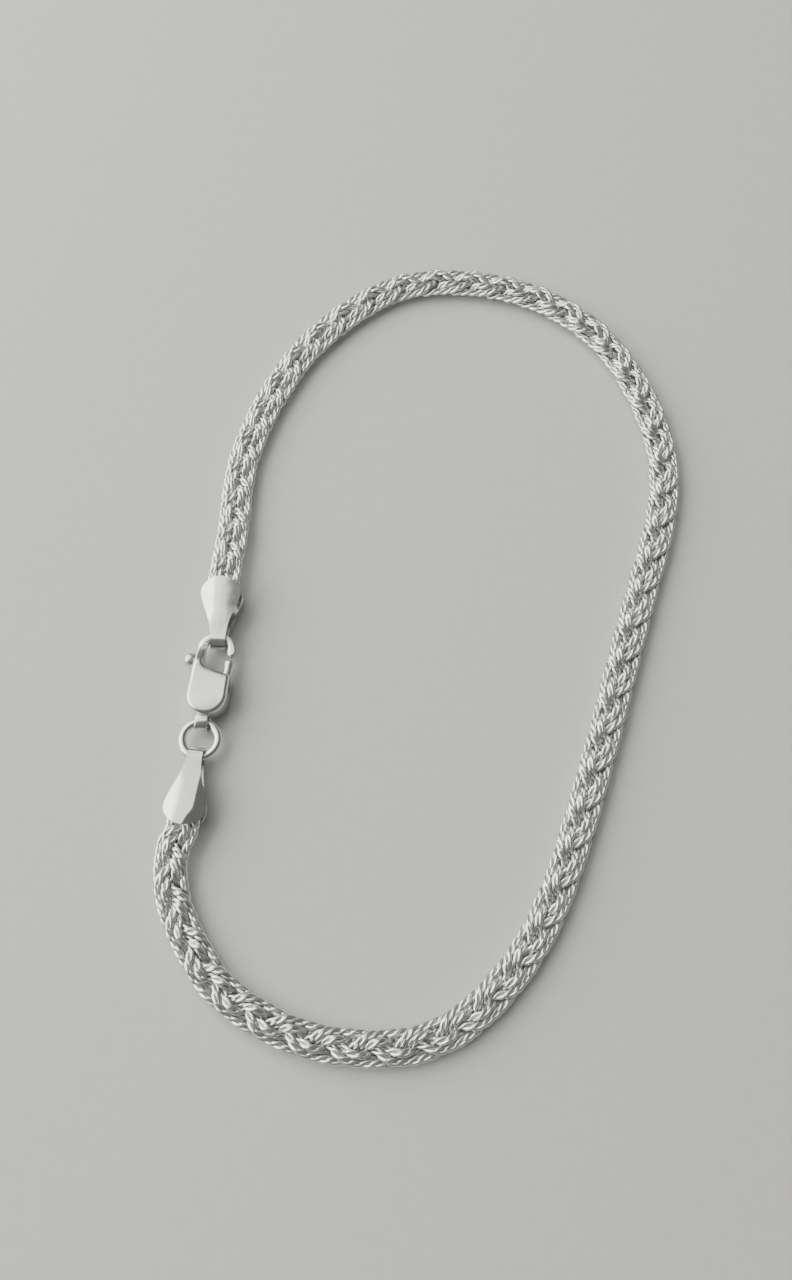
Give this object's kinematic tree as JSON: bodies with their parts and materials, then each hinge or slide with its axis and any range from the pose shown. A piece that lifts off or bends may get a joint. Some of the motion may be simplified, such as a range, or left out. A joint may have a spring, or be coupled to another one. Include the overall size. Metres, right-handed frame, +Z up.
{
  "type": "bracelet",
  "caption": "Braided chain bracelet of fine silver links, closed by a lobster clasp through a folded end tab.",
  "frame": {"origin": "middle of the bracelet's box on the table that it lies on", "axes": "+Y along the loop's longer way, from the ring end towards the hooked end; +Z up from the table"},
  "size_m": [0.0462, 0.0754, 0.003],
  "materials": {
    "tab_silver": "polished silver",
    "clasp_silver": "polished silver",
    "lever_silver": "satin silver",
    "ring_silver": "polished silver",
    "chain_silver": "bright fine chain links"
  },
  "bodies": {
    "closed_loop": {"hooked_end_tab": "tab_silver", "ring_end_tab": "tab_silver", "clasp_body": "clasp_silver", "jump_ring": "ring_silver", "strand_1": "chain_silver", "strand_2": "chain_silver", "strand_3": "chain_silver"},
    "lever": {"clasp_lever": "lever_silver"}
  },
  "joints": [
    {"name": "lever_hinge", "type": "hinge", "parent": "closed_loop", "child": "lever", "pos_m": [-0.01959, -0.00761, 0.0012], "axis": [0, 0, 1], "range_deg": [0, 20], "stiffness_Nm_per_rad": 0.002, "springref_deg": -5.73}
  ]
}
